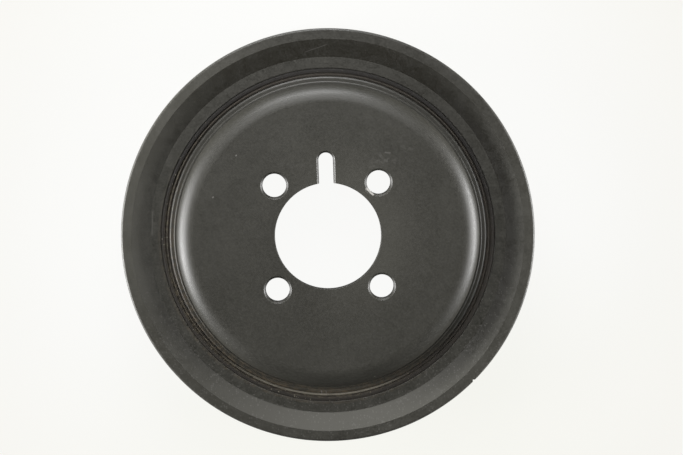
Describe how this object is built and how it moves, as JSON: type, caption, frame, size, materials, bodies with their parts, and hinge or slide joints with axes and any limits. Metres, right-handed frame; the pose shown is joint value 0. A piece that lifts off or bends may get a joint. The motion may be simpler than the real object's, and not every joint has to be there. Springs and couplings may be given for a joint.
{
  "type": "harmonic balancer",
  "caption": "Crankshaft pulley with a raised, bolted hub, a rubber damping ring and a heavy outer ring grooved for a ribbed belt.",
  "frame": {"origin": "centre of the bore, on the rear mounting face of the hub", "axes": "+Z along the bore axis, forward out of the engine; +Y from the axis through the key slot; +X to the right seen from the front"},
  "size_m": [0.156, 0.156, 0.034],
  "materials": {
    "hub_paint": "satin black paint on a turned casting",
    "damper_rubber": "matt brown-black rubber, dusty",
    "ring_paint": "satin black paint on a turned casting"
  },
  "bodies": {
    "root": {"hub": "hub_paint", "rubber_ring": "damper_rubber", "pulley_ring": "ring_paint"}
  },
  "joints": []
}
